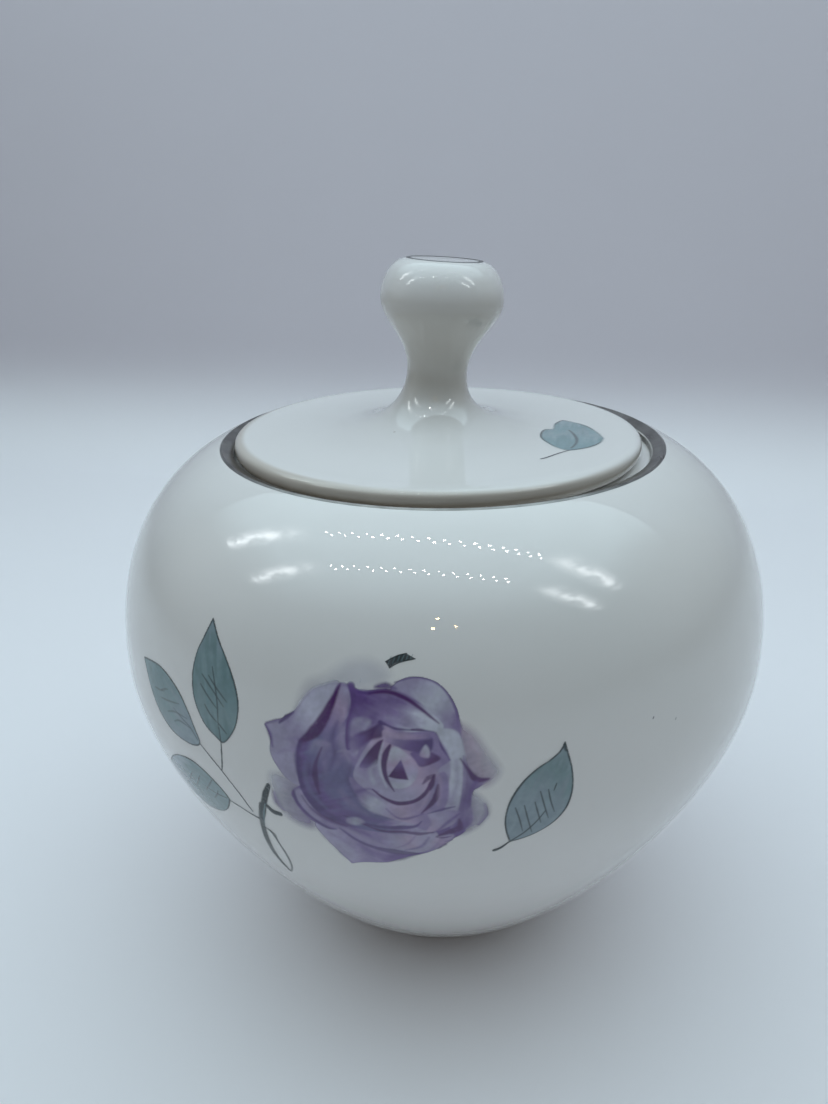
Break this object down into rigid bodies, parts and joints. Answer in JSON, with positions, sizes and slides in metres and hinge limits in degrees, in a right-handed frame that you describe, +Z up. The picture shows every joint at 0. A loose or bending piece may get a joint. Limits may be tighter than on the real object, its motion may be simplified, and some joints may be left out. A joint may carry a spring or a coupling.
{
  "type": "sugar bowl",
  "caption": "Squat globular porcelain sugar bowl on a small foot ring, with a recessed lift-off lid and a trumpet-footed knob.",
  "frame": {"origin": "centre of the foot ring's underside, on the surface the bowl stands on", "axes": "+Z up along the bowl's turning axis; +X is the side the knob leans to; -Y is the decorated front"},
  "size_m": [0.105, 0.105, 0.1146],
  "materials": {
    "bowl_glaze": "clear gloss glaze over white porcelain",
    "lid_glaze": "clear gloss glaze over white porcelain",
    "bare_porcelain": "unglazed and ground smooth, under the foot ring",
    "platinum_line": "brushed-on platinum, fired, slightly worn",
    "flower_print": "ceramic transfer fired on to the glaze"
  },
  "bodies": {
    "bowl": {"bowl_body": "bowl_glaze"},
    "lid": {"lid_plate": "lid_glaze", "lid_knob": "lid_glaze"}
  },
  "joints": [
    {"name": "lid_lift", "type": "slide", "parent": "bowl", "child": "lid", "axis": [0, 0, 1], "range_m": [0, 0.06]}
  ]
}
